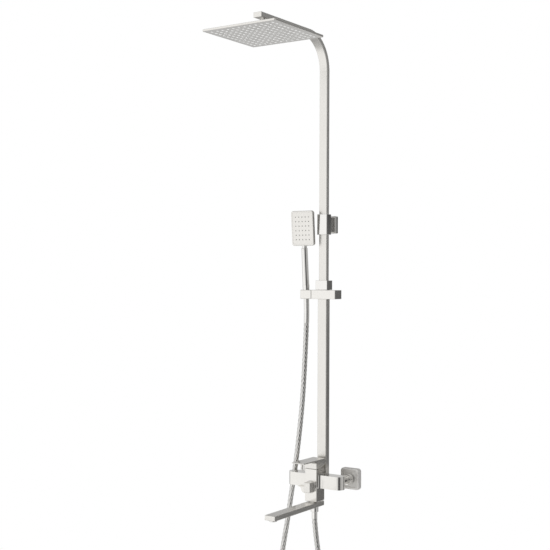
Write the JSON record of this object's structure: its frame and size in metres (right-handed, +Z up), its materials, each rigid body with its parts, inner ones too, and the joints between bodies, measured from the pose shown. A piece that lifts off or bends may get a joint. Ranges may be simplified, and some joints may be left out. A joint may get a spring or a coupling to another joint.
{
  "type": "rainfall shower column",
  "caption": "Wall-mounted bath and shower column: single-lever mixer with swivel spout, telescopic riser, square rain head, slider and hand shower on a steel hose.",
  "frame": {"origin": "wall plane, midway between the two water inlets", "axes": "+X along the wall to the viewer's right, +Y into the wall, +Z up"},
  "size_m": [0.2867, 0.522, 1.8483],
  "materials": {
    "brushed_nickel": "brushed nickel finish over brass and steel",
    "polished_nickel": "polished nickel finish",
    "brass_core": "machined brass",
    "dark_plastic": "matt black acetal",
    "light_plastic": "satin light grey plastic",
    "nozzle_rubber": "translucent grey silicone",
    "seal_rubber": "black rubber",
    "steel_hose": "spiral wound stainless hose",
    "screw_steel": "plain steel"
  },
  "bodies": {
    "mixer": {"mixer_body": "brushed_nickel", "inlet_connector_left": "brass_core", "inlet_connector_right": "brass_core", "union_nut_left": "polished_nickel", "union_nut_right": "polished_nickel", "wall_flange_left": "brushed_nickel", "wall_flange_right": "brushed_nickel", "inlet_washers": "seal_rubber", "cartridge": "dark_plastic", "cartridge_nut": "polished_nickel", "diverter_bonnet": "polished_nickel", "spout_post": "brass_core", "spout_ring": "polished_nickel", "riser_spigot": "brass_core", "lower_tube": "brushed_nickel", "collar_block": "brushed_nickel", "collar_seal": "seal_rubber", "collar_screw": "screw_steel", "bracket_arm": "brushed_nickel", "bracket_base": "screw_steel", "bracket_cover": "brushed_nickel", "bracket_screw": "screw_steel", "hose_nut": "polished_nickel", "hose_washer": "seal_rubber", "hose_ferrule": "polished_nickel", "hose": "steel_hose"},
    "cartridge_turn": {"cartridge_hub": "brass_core", "lever_pin": "screw_steel"},
    "lever": {"lever_handle": "brushed_nickel", "lever_stem": "brass_core", "lever_screw": "screw_steel"},
    "diverter": {"diverter_knob": "brushed_nickel", "diverter_spindle": "brass_core"},
    "spout": {"spout_body": "brushed_nickel", "aerator_ring": "polished_nickel", "aerator_insert": "light_plastic"},
    "upper_riser": {"upper_tube": "brushed_nickel", "arm_end_cap": "brushed_nickel", "arm_nipple": "polished_nickel"},
    "head_ring": {"head_ball_seat": "dark_plastic"},
    "rain_head": {"head_swivel_nut": "polished_nickel", "head_shell": "brushed_nickel", "head_face": "brushed_nickel", "head_nozzle_mat": "nozzle_rubber", "head_filter": "light_plastic"},
    "slider": {"slider_bar": "brushed_nickel", "slider_liner": "dark_plastic", "cradle_axle": "screw_steel"},
    "cradle": {"cradle": "light_plastic"},
    "handset": {"handset_cone_nut": "light_plastic", "handset_handle": "light_plastic", "handset_neck": "light_plastic", "handset_shell": "light_plastic", "handset_face": "light_plastic", "handset_nozzle_mat": "nozzle_rubber"}
  },
  "joints": [
    {"name": "lever_turn", "type": "hinge", "parent": "mixer", "child": "cartridge_turn", "pos_m": [0, -0.099, 0.044], "axis": [0, 0, 1], "range_deg": [-45, 45]},
    {"name": "lever_lift", "type": "hinge", "parent": "cartridge_turn", "child": "lever", "pos_m": [0, -0.099, 0.044], "axis": [-1, 0, 0], "range_deg": [0, 18]},
    {"name": "diverter_turn", "type": "hinge", "parent": "mixer", "child": "diverter", "pos_m": [0, -0.135, -0.0155], "axis": [0, 1, 0], "range_deg": [-90, 90]},
    {"name": "spout_swivel", "type": "hinge", "parent": "mixer", "child": "spout", "pos_m": [0, -0.099, -0.071], "axis": [0, 0, 1], "range_deg": [-60, 60]},
    {"name": "riser_slide", "type": "slide", "parent": "mixer", "child": "upper_riser", "axis": [0, 0, 1], "range_m": [-0.25, 0.1]},
    {"name": "head_tilt_side", "type": "hinge", "parent": "upper_riser", "child": "head_ring", "pos_m": [0, -0.382, 1.346], "axis": [0, 1, 0], "range_deg": [-10, 10]},
    {"name": "head_tilt_front", "type": "hinge", "parent": "head_ring", "child": "rain_head", "pos_m": [0, -0.382, 1.346], "axis": [1, 0, 0], "range_deg": [-10, 10]},
    {"name": "slider_slide", "type": "slide", "parent": "mixer", "child": "slider", "axis": [0, 0, 1], "range_m": [-0.36, 0], "deforming": ["hose"]},
    {"name": "cradle_tilt", "type": "hinge", "parent": "slider", "child": "cradle", "pos_m": [-0.034, -0.05, 0.5715], "axis": [1, 0, 0], "range_deg": [-5, 25]},
    {"name": "handset_lift", "type": "slide", "parent": "cradle", "child": "handset", "axis": [0, -0.0785, 0.9969], "range_m": [0, 0.028]}
  ]
}
